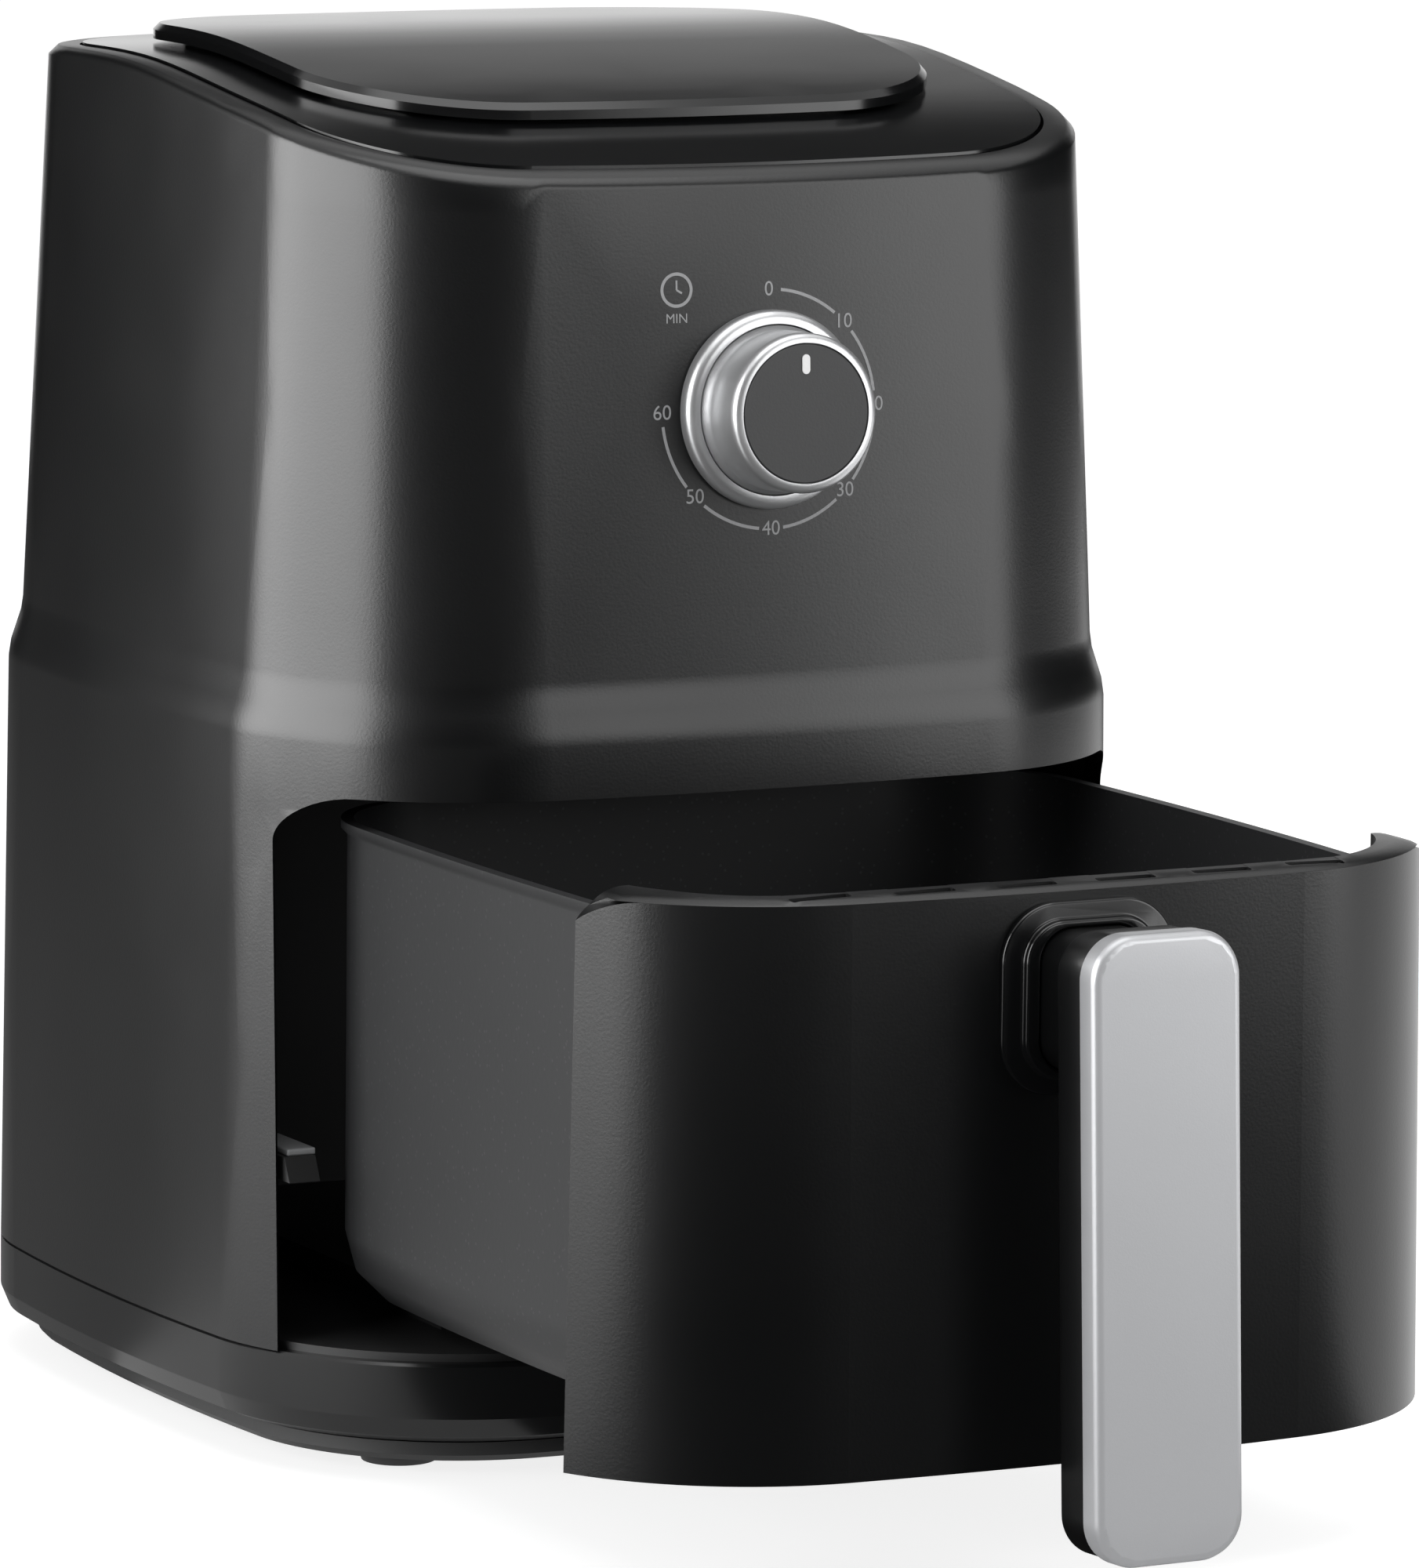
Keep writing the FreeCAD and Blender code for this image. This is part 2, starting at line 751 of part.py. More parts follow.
def make_knob():
    socket = timer_shaft_radius + hub_gap
    socket_top = knob_length / 2 + hub_gap
    return on_dial(turned([
        (socket, knob_foot),
        (knob_base_radius, knob_foot),
        (knob_base_radius, bezel_proud),
        (knob_base_radius - knob_edge, bezel_proud + knob_edge),
        (knob_tip_radius, knob_length - knob_edge),
        (knob_tip_radius - knob_edge, knob_length),
        (disc_radius + hub_gap * 3, knob_length),
        (disc_radius + hub_gap * 3, disc_seat),
        (0, disc_seat),
        (0, socket_top),
        (socket, socket_top),
    ]))


def make_knob_disc():
    bevel = disc_recess / 4
    return on_dial(turned([
        (0, disc_seat),
        (disc_radius, disc_seat),
        (disc_radius, knob_length - bevel),
        (disc_radius - bevel, knob_length),
        (0, knob_length),
    ]))


def make_knob_pointer():
    half = pointer_width / 2
    straight = (pointer_length - pointer_width) / 2
    top = knob_length + hub_gap * 6
    bar = box(-half, half, pointer_place - straight, pointer_place + straight, knob_length, top)
    for end in (-straight, straight):
        bar = bar.fuse(cylinder(half, knob_length, top, 0, pointer_place + end))
    return on_dial(bar.removeSplitter())


# Rear outlet: a louvred grille flush with the back, and the gland where a lead would enter
def make_rear_grille():
    skin = body_form.cut(body_block(body_wall, plinth_top - overcut, crown_limit))
    half = grille_half_width - part_gap
    grille = skin.common(box(-half, half, 0, 2 * half_depth, grille_low + part_gap, grille_high - part_gap))
    pitch = 2 * (half - grille_frame) / grille_slot_count
    for number in range(grille_slot_count):
        x = grille_frame - half + pitch * (number + 0.5)
        grille = grille.cut(box(x - grille_slot_width / 2, x + grille_slot_width / 2, 0, 2 * half_depth,
                                grille_low + grille_frame, grille_high - grille_frame))
    return grille


def make_cord_gland():
    back = half_depth - body_inset(gland_z)
    gland = turned([
        (gland_bore, -3 * body_wall),
        (gland_radius, -3 * body_wall),
        (gland_radius, slide_gap),
        (gland_radius + gland_flange, slide_gap),
        (gland_radius + gland_flange - gland_bevel, gland_flange),
        (gland_bore, gland_flange),
    ])
    gland.rotate(Vector(0, 0, 0), Vector(1, 0, 0), -90)
    gland.translate(Vector(0, back, gland_z))
    return gland


# Pan: a deep drawn tub with a rolled lip
def pan_outline(grow, z):
    half_x = pan_half_width + grow
    half_y = pan_half_depth + grow
    return crowned_outline(half_x, half_y, pan_corner + grow, pan_crown + grow, z, pan_middle)


def pan_block(grow, low, high):
    """The tub's outside, grown by a distance, with its rounded bottom edge."""
    rolled = reversed(round_over(pan_fillet + grow, 3))
    wires = [pan_outline(grow - inward, low + up) for inward, up in rolled]
    wires.append(pan_outline(grow, high))
    return loft(wires)


def make_pan():
    tub = pan_block(0, pan_bottom, pan_rim)
    lip = loft([pan_outline(grow, z) for grow, z in (
        (0, pan_rim - pan_lip_height - pan_lip),
        (pan_lip, pan_rim - pan_lip_height),
        (pan_lip, pan_rim),
    )])
    return tub.fuse(lip).cut(pan_block(-pan_wall, pan_bottom + pan_wall, pan_rim + overcut))


# Drawer front: the body's own wall cut out, with a carrier behind it and a sloping cap on top
panel_half_width = opening_half_width - panel_gap
pan_room_heights = (pan_bottom - pan_fillet, panel_top + pan_fillet)
pan_room = loft([pan_outline(pan_lip + slide_gap, z) for z in pan_room_heights])


def front_prism(half_x, low, high, radius):
    return arch_prism(half_x, low, high, radius, -2 * half_depth, panel_back)


def make_front_panel():
    skin = body_form.cut(body_block(panel_wall, plinth_top - overcut, crown_limit))
    return skin.common(front_prism(panel_half_width, panel_bottom, panel_top, opening_corner))


carrier_top = pan_rim - pan_lip_height


def make_panel_carrier():
    half = opening_half_width - slide_gap - liner_wall - panel_gap
    room = body_block(panel_wall, plinth_top, shoulder_z)
    carrier = room.common(front_prism(half, pan_bottom + pan_wall, carrier_top, opening_corner))
    return carrier.cut(pan_room)


def make_panel_cap():
    inner = body_inset(panel_top) + panel_wall
    plug = loft([body_outline(inner, z) for z in (carrier_top, panel_top)])
    roof = loft([body_outline(inset, z) for inset, z in (
        (body_inset(panel_top) + slide_gap, panel_top),
        (body_inset(panel_top) + cap_rise, panel_top + cap_rise / 2),
        (inner + panel_wall * 2, panel_top + cap_rise),
    )])
    half = opening_half_width - slide_gap - liner_wall - panel_gap
    cap = plug.fuse(roof).common(front_prism(half, carrier_top, panel_top + cap_rise, opening_corner))
    cap = cap.cut(pan_room)
    slot_y = body_inset(panel_top) + panel_wall * 2 - half_depth
    for number in range(vent_slot_count):
        x = (number - (vent_slot_count - 1) / 2) * vent_slot_pitch
        bow = x * x / (2 * crown_radius)
        cap = cap.cut(box(x - vent_slot_length / 2, x + vent_slot_length / 2, slot_y + bow,
                          slot_y + bow + vent_slot_width, panel_top, panel_top + 2 * cap_rise))
    return cap


# Handle: a bright face plate on a moulded grip, whose neck stands on a stepped escutcheon
handle_top = pan_rim + panel_rise - handle_top_drop
neck_top = panel_top - neck_top_drop
neck_low = neck_top - neck_height
panel_face = body_inset(neck_top) - half_depth


def on_handle(shape):
    """Lean a shape made with its face on Y=0 and its top at Z=0 into the handle's place."""
    lean = math.degrees(math.atan((handle_reach_bottom - handle_reach_top) / handle_length))
    placed = shape.copy()
    placed.rotate(Vector(0, 0, 0), Vector(1, 0, 0), -lean)
    placed.translate(Vector(0, panel_face - handle_reach_top, handle_top))
    return placed


def handle_section(inset, y):
    half_x = handle_half_width - inset
    return rounded_rectangle(half_x, inset - handle_length, -inset, handle_corner - inset, y)


def make_handle_plate():
    sections = [handle_section(inset, back) for inset, back in reversed(round_over(plate_bevel, 2))]
    sections.append(handle_section(0, plate_thickness))
    return on_handle(loft(sections))


def neck_prism(side, end, low_y, high_y):
    """The neck's section, grown sideways and endways, run along Y."""
    half_x = neck_half_width + side
    wire = rounded_rectangle(half_x, neck_low - end, neck_top + end, neck_corner + end, low_y)
    return Part.Face(wire).extrude(Vector(0, high_y - low_y, 0))


def make_handle_grip():
    back = plate_thickness + grip_thickness
    grip = on_handle(loft([
        handle_section(grip_inset, plate_thickness),
        handle_section(grip_inset, back - plate_bevel),
        handle_section(grip_inset + plate_bevel, back),
    ]))
    face_y = panel_face - handle_reach_top + plate_thickness + grip_thickness / 2
    neck = neck_prism(0, 0, face_y, panel_face + panel_wall).cut(body_form)
    return grip.fuse(neck)


def make_escutcheon():
    buried = panel_face + panel_wall
    outer = neck_prism(escutcheon_side, escutcheon_end, panel_face - escutcheon_proud, buried)
    inner = neck_prism(escutcheon_side - escutcheon_side_step, escutcheon_end - escutcheon_end_step,
                       panel_face - 2 * escutcheon_proud, buried)
    ring = outer.fuse(inner).cut(neck_prism(slide_gap, slide_gap, panel_face - handle_reach_top, buried))
    return ring.cut(body_form)


# Crisper tray: a perforated plate on short legs, with soft bumpers against the pan
tray_low = pan_bottom + pan_wall + tray_lift_height


def tray_outline(inset, z):
    return pan_outline(-pan_wall - tray_gap - inset, z)


def make_crisper_tray():
    top = tray_low + tray_rim_height
    tray = loft([tray_outline(0, z) for z in (tray_low, top)])
    tray = tray.cut(loft([tray_outline(tray_wall, z) for z in (tray_low + tray_wall, top + overcut)]))
    margin = pan_wall + tray_gap + 3 * tray_hole_radius
    reach_x = pan_half_width - margin
    reach_y = pan_half_depth - margin
    columns = int(reach_x / tray_hole_pitch)
    rows = int(reach_y / tray_hole_pitch)
    hole_top = tray_low + tray_wall + overcut
    holes = []
    for column in range(-columns, columns + 1):
        for row in range(-rows, rows + 1):
            x = column * tray_hole_pitch
            y = row * tray_hole_pitch
            if math.hypot(x / reach_x, y / reach_y) < 1:
                holes.append(hexagon(tray_hole_radius, tray_low - overcut, hole_top, x, pan_middle + y))
    tray = tray.cut(Part.Compound(holes))
    leg_low = pan_bottom + pan_wall + slide_gap
    for sx in (-1, 1):
        for sy in (-1, 1):
            x = sx * tray_leg_place
            y = pan_middle + sy * tray_leg_place
            tray = tray.fuse(hexagon(tray_hole_radius, leg_low, tray_low + tray_wall / 2, x, y))
    return tray


def make_tray_bumpers():
    reach_x = pan_half_width - pan_wall - tray_gap
    reach_y = pan_half_depth - pan_wall - tray_gap
    heights = (tray_low - overcut, tray_low + tray_rim_height + overcut)
    tray_form = loft([tray_outline(0, z) for z in heights])
    room = loft([pan_outline(-pan_wall - slide_gap, z) for z in heights])
    pads = []
    for x, y in ((reach_x, 0), (-reach_x, 0), (0, reach_y), (0, -reach_y)):
        pad = cylinder(bumper_radius, tray_low, tray_low + tray_rim_height, x, pan_middle + y)
        pads.append(pad.cut(tray_form).common(room))
    return Part.Compound(pads)


fixed = {
    "outer_shell": make_outer_shell(),
    "plinth": make_plinth(),
    "base_plate": make_base_plate(),
    "base_screws": make_base_screws(),
    "top_ledge": make_top_ledge(),
    "top_cap": make_top_cap(),
    "inner_liner": make_inner_liner(),
    "drawer_runners": make_drawer_runners(),
    "side_guides": make_side_guides(),
    "heater_housing": make_heater_housing(),
    "heating_element": make_heating_element(),
    "element_clips": make_element_clips(),
    "hot_air_fan": make_hot_air_fan(),
    "fan_shaft": make_fan_shaft(),
    "cooling_fan": make_cooling_fan(),
    "fan_motor": make_motor(),
    "motor_bracket": make_motor_bracket(),
    "thermostat": make_thermostat(),
    "thermal_fuse": make_thermal_fuse(),
    "drawer_switch": make_drawer_switch(),
    "timer_unit": make_timer_unit(),
    "timer_shaft": make_timer_shaft(),
    "dial_bezel": make_dial_bezel(),
    "knob": make_knob(),
    "knob_disc": make_knob_disc(),
    "knob_pointer": make_knob_pointer(),
    "rear_grille": make_rear_grille(),
    "cord_gland": make_cord_gland(),
}
for number, (foot_x, foot_y) in enumerate(foot_places(), 1):
    fixed["foot_%d" % number] = make_foot(foot_x, foot_y)

# The drawer is drawn closed and stored pulled open
drawer = {
    "pan": make_pan(),
    "front_panel": make_front_panel(),
    "panel_carrier": make_panel_carrier(),
    "panel_cap": make_panel_cap(),
    "escutcheon": make_escutcheon(),
    "handle_grip": make_handle_grip(),
    "handle_plate": make_handle_plate(),
    "crisper_tray": make_crisper_tray(),
    "tray_bumpers": make_tray_bumpers(),
}
for shape in drawer.values():
    shape.translate(Vector(0, -drawer_pull, 0))

# The stored origin is the middle of the footprint, drawer open, on the table
nodes = {**fixed, **drawer}
front_end = nodes["handle_plate"].BoundBox.YMin
back_end = nodes["cord_gland"].BoundBox.YMax
to_middle = Vector(0, -(front_end + back_end) / 2, 0)
os.makedirs("parts", exist_ok=True)
for name, shape in nodes.items():
    stored = shape.copy()
    stored.translate(to_middle)
    stored.exportStep("parts/%s.step" % name)
print("row shift along Y", to_middle.y)
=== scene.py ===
import bpy
import json
import math
from mathutils import Matrix, Vector

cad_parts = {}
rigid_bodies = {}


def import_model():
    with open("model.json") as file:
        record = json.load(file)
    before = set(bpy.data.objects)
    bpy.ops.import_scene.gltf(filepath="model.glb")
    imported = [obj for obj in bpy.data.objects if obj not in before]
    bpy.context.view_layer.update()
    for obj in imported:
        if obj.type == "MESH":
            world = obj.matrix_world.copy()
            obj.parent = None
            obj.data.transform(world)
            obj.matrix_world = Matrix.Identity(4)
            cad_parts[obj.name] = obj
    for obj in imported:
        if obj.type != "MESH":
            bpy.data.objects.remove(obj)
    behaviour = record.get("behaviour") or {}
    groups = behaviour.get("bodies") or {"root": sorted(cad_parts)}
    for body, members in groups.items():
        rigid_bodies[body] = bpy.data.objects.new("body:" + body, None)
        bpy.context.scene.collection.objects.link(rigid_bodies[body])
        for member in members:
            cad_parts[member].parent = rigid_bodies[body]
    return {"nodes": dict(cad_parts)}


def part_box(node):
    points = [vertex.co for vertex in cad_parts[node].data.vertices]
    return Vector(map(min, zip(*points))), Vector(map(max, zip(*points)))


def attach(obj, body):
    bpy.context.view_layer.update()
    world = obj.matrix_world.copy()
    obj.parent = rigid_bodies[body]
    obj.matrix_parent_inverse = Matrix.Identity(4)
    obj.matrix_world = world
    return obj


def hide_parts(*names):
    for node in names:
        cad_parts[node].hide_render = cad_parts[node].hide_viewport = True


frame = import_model()

# The pieces below follow the order in which the machine is put together.
bpy.context.view_layer.update()
nodes = frame["nodes"]


# Moulded casing: the outer shell, the drawer's front, the rear grille and the handle's grip. All
# are injection-moulded in black ABS with a fine spark-eroded grain, so the walls are satin and
# show soft, wide highlights.
def grain_group():
    """Fine grain in the normal, and gloss that wanders a little over a wall."""
    grain_height = 0.0002
    grain_detail = 2.0
    wander_size = 22.0
    group = bpy.data.node_groups.new("moulded_grain", "ShaderNodeTree")
    group.interface.new_socket("Grain size", in_out="INPUT", socket_type="NodeSocketFloat")
    group.interface.new_socket("Depth", in_out="INPUT", socket_type="NodeSocketFloat")
    group.interface.new_socket("Roughness", in_out="INPUT", socket_type="NodeSocketFloat")
    group.interface.new_socket("Wander", in_out="INPUT", socket_type="NodeSocketFloat")
    group.interface.new_socket("Roughness", in_out="OUTPUT", socket_type="NodeSocketFloat")
    group.interface.new_socket("Normal", in_out="OUTPUT", socket_type="NodeSocketVector")
    inlet = group.nodes.new("NodeGroupInput")
    outlet = group.nodes.new("NodeGroupOutput")
    place = group.nodes.new("ShaderNodeTexCoord")
    fine = group.nodes.new("ShaderNodeTexNoise")
    fine.inputs["Detail"].default_value = grain_detail
    broad = group.nodes.new("ShaderNodeTexNoise")
    broad.inputs["Scale"].default_value = wander_size
    bump = group.nodes.new("ShaderNodeBump")
    bump.inputs["Distance"].default_value = grain_height
    spread = group.nodes.new("ShaderNodeMath")
    spread.operation = "MULTIPLY_ADD"
    centred = group.nodes.new("ShaderNodeMath")
    centred.operation = "SUBTRACT"
    centred.inputs[1].default_value = 0.5
    link = group.links.new
    link(place.outputs["Object"], fine.inputs["Vector"])
    link(place.outputs["Object"], broad.inputs["Vector"])
    link(inlet.outputs["Grain size"], fine.inputs["Scale"])
    link(inlet.outputs["Depth"], bump.inputs["Strength"])
    link(fine.outputs["Fac"], bump.inputs["Height"])
    link(broad.outputs["Fac"], centred.inputs[0])
    link(centred.outputs[0], spread.inputs[0])
    link(inlet.outputs["Wander"], spread.inputs[1])
    link(inlet.outputs["Roughness"], spread.inputs[2])
    link(spread.outputs[0], outlet.inputs["Roughness"])
    link(bump.outputs["Normal"], outlet.inputs["Normal"])
    return group


moulded_grain = grain_group()


def grained(name, colour, roughness, grain=1400.0, depth=0.12, wander=0.06, metallic=0.0):
    """A finish with a fine surface grain and slightly uneven gloss."""
    finish = bpy.data.materials.new(name)
    finish.use_nodes = True
    tree = finish.node_tree
    shader = tree.nodes["Principled BSDF"]
    shader.inputs["Base Color"].default_value = (*colour, 1.0)
    shader.inputs["Metallic"].default_value = metallic
    surface = tree.nodes.new("ShaderNodeGroup")
    surface.node_tree = moulded_grain
    surface.inputs["Grain size"].default_value = grain
    surface.inputs["Depth"].default_value = depth
    surface.inputs["Roughness"].default_value = roughness
    surface.inputs["Wander"].default_value = wander
    tree.links.new(surface.outputs["Roughness"], shader.inputs["Roughness"])
    tree.links.new(surface.outputs["Normal"], shader.inputs["Normal"])
    return finish


def coat(finish, *names):
    """Give CAD pieces their finish."""
    for name in names:
        nodes[name].data.materials.clear()
        nodes[name].data.materials.append(finish)


def dress(name, body, finish, sharp, bevel=0.0, flat_faces=False):
    """Stand a merged, smoothly shaded copy of a CAD piece in for it, with its edges softened."""
    merge_distance = 0.000002
    flat_angle = math.radians(0.5)
    edge_angle = math.radians(40)
    bpy.ops.object.select_all(action="DESELECT")
    nodes[name].select_set(True)
    bpy.context.view_layer.objects.active = nodes[name]
    bpy.ops.object.duplicate()
    piece = bpy.context.object
    piece.name = name + "_dressed"
    bpy.ops.object.parent_clear(type="CLEAR_KEEP_TRANSFORM")
    bpy.ops.mesh.customdata_custom_splitnormals_clear()
    bpy.ops.object.mode_set(mode="EDIT")
    bpy.ops.mesh.select_all(action="SELECT")
    bpy.ops.mesh.remove_doubles(threshold=merge_distance)
    if bevel:
        bpy.ops.mesh.dissolve_limited(angle_limit=flat_angle)
    bpy.ops.object.mode_set(mode="OBJECT")
    if bevel:
        edge = piece.modifiers.new("soft_edge", "BEVEL")
        edge.width = bevel
        edge.segments = 3
        edge.limit_method = "ANGLE"
        edge.angle_limit = edge_angle
        bpy.ops.object.modifier_apply(modifier="soft_edge")
    bpy.ops.object.shade_smooth_by_angle(angle=math.radians(sharp))
    if flat_faces:
        even = piece.modifiers.new("even_flats", "WEIGHTED_NORMAL")
        even.mode = "FACE_AREA_WITH_ANGLE"
        even.weight = 50
        even.keep_sharp = True
        bpy.ops.object.modifier_apply(modifier="even_flats")
    piece.data.materials.clear()
    piece.data.materials.append(finish)
    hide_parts(name)
    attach(piece, body)
    return piece


satin_black = grained("satin_black_plastic", (0.003, 0.0032, 0.0035), 0.29)
coat(satin_black, "front_panel", "rear_grille")
shell = dress("outer_shell", "body", satin_black, sharp=50, flat_faces=True)
dress("handle_grip", "drawer", satin_black, sharp=35, bevel=0.0010)

# Drawer cap: a moulded strip welded along the top of the drawer's front, with six vent slots that
# let steam out behind the wall. The slots are closed all round and have round corners.
slot_count = 6
slot_pitch = 0.027
slot_length = 0.016
slot_width = 0.0028
slot_setback = 0.0032
slot_depth = 0.006
slot_corner = 0.0009
notch_setback = 0.0049
fill_depth = 0.004
end_margin = 0.0007
wall_crown = 0.775
cap_sharp = 30
margin = 0.0001
cap = dress("panel_cap", "drawer", satin_black, sharp=cap_sharp)
cap_low, cap_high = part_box("panel_cap")
bpy.context.view_layer.update()


def cap_back(x):
    """The place of the cap's back face, seen from inside the pan."""
    start = Vector((x, cap_high[1], cap_high[2] - 7 * margin))
    found, point, normal, face = cap.ray_cast(start, Vector((0, -1, 0)))
    return point.y


def cap_height(x, y):
    """The height of the cap's top at a place."""
    start = Vector((x, y, cap_high[2] + slot_depth))
    found, point, normal, face = cap.ray_cast(start, Vector((0, 0, -1)))
    return point.z


def bar(width, bottom, top, length):
    """A bar along the cap, with its front face's middle over the origin."""
    bpy.ops.object.select_all(action="DESELECT")
    bpy.ops.mesh.primitive_cube_add(size=1.0, location=(0, width / 2, (bottom + top) / 2))
    piece = bpy.context.object
    piece.scale = (length, width, top - bottom)
    bpy.ops.object.transform_apply(location=True, rotation=True, scale=True)
    return piece


def copy_of(piece, placing):
    """A copy of a piece with its own mesh, and with its place in the mesh."""
    bpy.ops.object.select_all(action="DESELECT")
    piece.select_set(True)
    bpy.context.view_layer.objects.active = piece
    bpy.ops.object.duplicate()
    copy = bpy.context.object
    copy.data.transform(placing)
    return copy


def carve(target, tool, operation):
    """Join a tool to a piece or cut it away, and throw the tool out."""
    change = target.modifiers.new("carve", "BOOLEAN")
    change.object = tool
    change.operation = operation
    change.solver = "EXACT"
    bpy.ops.object.select_all(action="DESELECT")
    bpy.context.view_layer.objects.active = target
    bpy.ops.object.modifier_apply(modifier="carve")
    bpy.data.objects.remove(tool)


slot_places = [(number - (slot_count - 1) / 2) * slot_pitch for number in range(slot_count)]
filler = bar(fill_depth, cap_high[2] - fill_depth, cap_high[2], slot_length + 2 * end_margin)
for slot_x in slot_places:
    notch_y = cap_low[1] + notch_setback + slot_x ** 2 / (2 * wall_crown)
    fill = copy_of(filler, Matrix.Translation((slot_x, notch_y, 0)))
    for vertex in fill.data.vertices:
        if vertex.co.y > notch_y + fill_depth / 2:
            vertex.co.y = cap_back(vertex.co.x) - margin
        if vertex.co.z > cap_high[2] - fill_depth / 2:
            vertex.co.z = cap_height(vertex.co.x, vertex.co.y - 2 * margin) - margin / 5
    carve(cap, fill, "UNION")
bpy.data.objects.remove(filler)

slot_tool = bar(slot_width, cap_high[2] - slot_depth, cap_high[2] + slot_depth, slot_length)
corner = slot_tool.modifiers.new("corner", "BEVEL")
corner.width = slot_corner
corner.segments = 3
bpy.ops.object.modifier_apply(modifier="corner")
for slot_x in slot_places:
    slot_y = cap_low[1] + slot_setback + slot_x ** 2 / (2 * wall_crown)
    tool = copy_of(slot_tool, Matrix.Translation((slot_x, slot_y, 0)))
    carve(cap, tool, "DIFFERENCE")
bpy.data.objects.remove(slot_tool)

bpy.ops.object.select_all(action="DESELECT")
cap.select_set(True)
bpy.context.view_layer.objects.active = cap
bpy.ops.object.shade_smooth_by_angle(angle=math.radians(cap_sharp))

# Gloss trim: the plinth's skirt, the lid's ledge and cap, and the escutcheon behind the handle.
# They are moulded in the same black ABS in polished tools, so their edges catch thin lights.
gloss_black = grained("gloss_black_plastic", (0.004, 0.0042, 0.0045), 0.16,
                      grain=260.0, depth=0.02, wander=0.03)
coat(gloss_black, "top_ledge", "top_cap")
skirt_black = grained("skirt_black_plastic", (0.0042, 0.0044, 0.0047), 0.24,
                      grain=700.0, depth=0.05, wander=0.03)
coat(skirt_black, "plinth")
dress("escutcheon", "drawer", gloss_black, sharp=35, bevel=0.0007)

# Drawer bay: a pressed liner with plastic runners, guides and the carrier behind the drawer's
# front, all in plain matt black, with the control pieces that sit out of sight behind them.
bay_black = grained("bay_black", (0.006, 0.0062, 0.0065), 0.5, grain=900.0, depth=0.1)
coat(bay_black, "inner_liner", "drawer_runners", "panel_carrier", "base_plate")
# The side guides get a darker black than the rest of the bay: painted shade, so that their front ends
# stay dark instead of catching light.
guide_painted_shade = grained("guide_painted_shade", (0.003, 0.003, 0.0032), 0.7, grain=900.0, depth=0.1)
coat(guide_painted_shade, "side_guides")
coat(bay_black, "cord_gland", "drawer_switch", "timer_unit", "cooling_fan")

# Heater and drive: the spun steel housing, the sheathed element, the fan, its shaft and motor,
# and the small fasteners. They are bare or nickel-plated steel with a drawn surface.
bare_steel = grained("bare_steel", (0.52, 0.51, 0.5), 0.3,
                     grain=700.0, depth=0.08, wander=0.12, metallic=1.0)
coat(bare_steel, "heater_housing", "heating_element", "element_clips", "hot_air_fan")
coat(bare_steel, "fan_shaft", "fan_motor", "motor_bracket", "thermostat", "thermal_fuse")
coat(bare_steel, "timer_shaft", "base_screws")

# Highlight strips: a thin pale strip on top of each side guide, beside which the pan's sides slide.
# The strip's pale colour is a painted highlight for the light along the guide's top edge, a fine
# bright line in the bay's mouth.
pale_highlight_paint = grained("pale_highlight_paint", (0.26, 0.265, 0.27), 0.5, grain=800.0, depth=0.1)
strip_thickness = 0.0018
strip_width = 0.0078
strip_inset = 0.0014
strip_setback = 0.0042
strip_end = 0.050
guide_low, guide_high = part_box("side_guides")
strip_front = guide_low[1] + strip_setback
strip_back = guide_high[1] - strip_end
strip_x = guide_high[0] - strip_inset - strip_width / 2
strip_z = guide_high[2] + strip_thickness / 2
bpy.ops.object.select_all(action="DESELECT")
strip_y = (strip_front + strip_back) / 2
bpy.ops.mesh.primitive_cube_add(size=1.0, location=(-strip_x, strip_y, strip_z))
left_strip = bpy.context.object
left_strip.name = "highlight_strip_left"
left_strip.scale = (strip_width, strip_back - strip_front, strip_thickness)
bpy.ops.object.transform_apply(location=True, rotation=True, scale=True)
edge = left_strip.modifiers.new("edge", "BEVEL")
edge.width = strip_thickness / 4
edge.segments = 2
bpy.ops.object.modifier_apply(modifier="edge")
left_strip.data.materials.append(pale_highlight_paint)
right_strip = copy_of(left_strip, Matrix.Translation((2 * strip_x, 0, 0)))
right_strip.name = "highlight_strip_right"
for strip in (left_strip, right_strip):
    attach(strip, "body")


# Pan and crisper tray: deep-drawn steel sprayed with a dark non-stick coating, whose tiny light
# flecks show up close. The tray rests on its legs in the pan and lifts out.
def flecked(name, colour, fleck_colour, roughness):
    """The non-stick coating: the grained finish with sparse pale flecks in its colour."""
    fleck_spacing = 420.0
    fleck_edge = 0.20
    fleck_core = 0.12
    finish = grained(name, colour, roughness, grain=600.0, depth=0.1)
    tree = finish.node_tree
    tree.nodes["Principled BSDF"].inputs["Specular IOR Level"].default_value = 0.3
    place = tree.nodes.new("ShaderNodeTexCoord")
    cells = tree.nodes.new("ShaderNodeTexVoronoi")
    cells.inputs["Scale"].default_value = fleck_spacing
    cut = tree.nodes.new("ShaderNodeMapRange")
    cut.inputs["From Min"].default_value = fleck_edge
    cut.inputs["From Max"].default_value = fleck_core
    blend = tree.nodes.new("ShaderNodeMix")
    blend.data_type = "RGBA"
    blend.inputs["A"].default_value = (*colour, 1.0)
    blend.inputs["B"].default_value = (*fleck_colour, 1.0)
    tree.links.new(place.outputs["Object"], cells.inputs["Vector"])
    tree.links.new(cells.outputs["Distance"], cut.inputs["Value"])
    tree.links.new(cut.outputs["Result"], blend.inputs["Factor"])
    tree.links.new(blend.outputs["Result"], tree.nodes["Principled BSDF"].inputs["Base Color"])
    return finish


nonstick = flecked("nonstick_coating", (0.017, 0.0175, 0.0185), (0.036, 0.036, 0.038), 0.45)
coat(nonstick, "crisper_tray")
dress("pan", "drawer", nonstick, sharp=50, flat_faces=True)

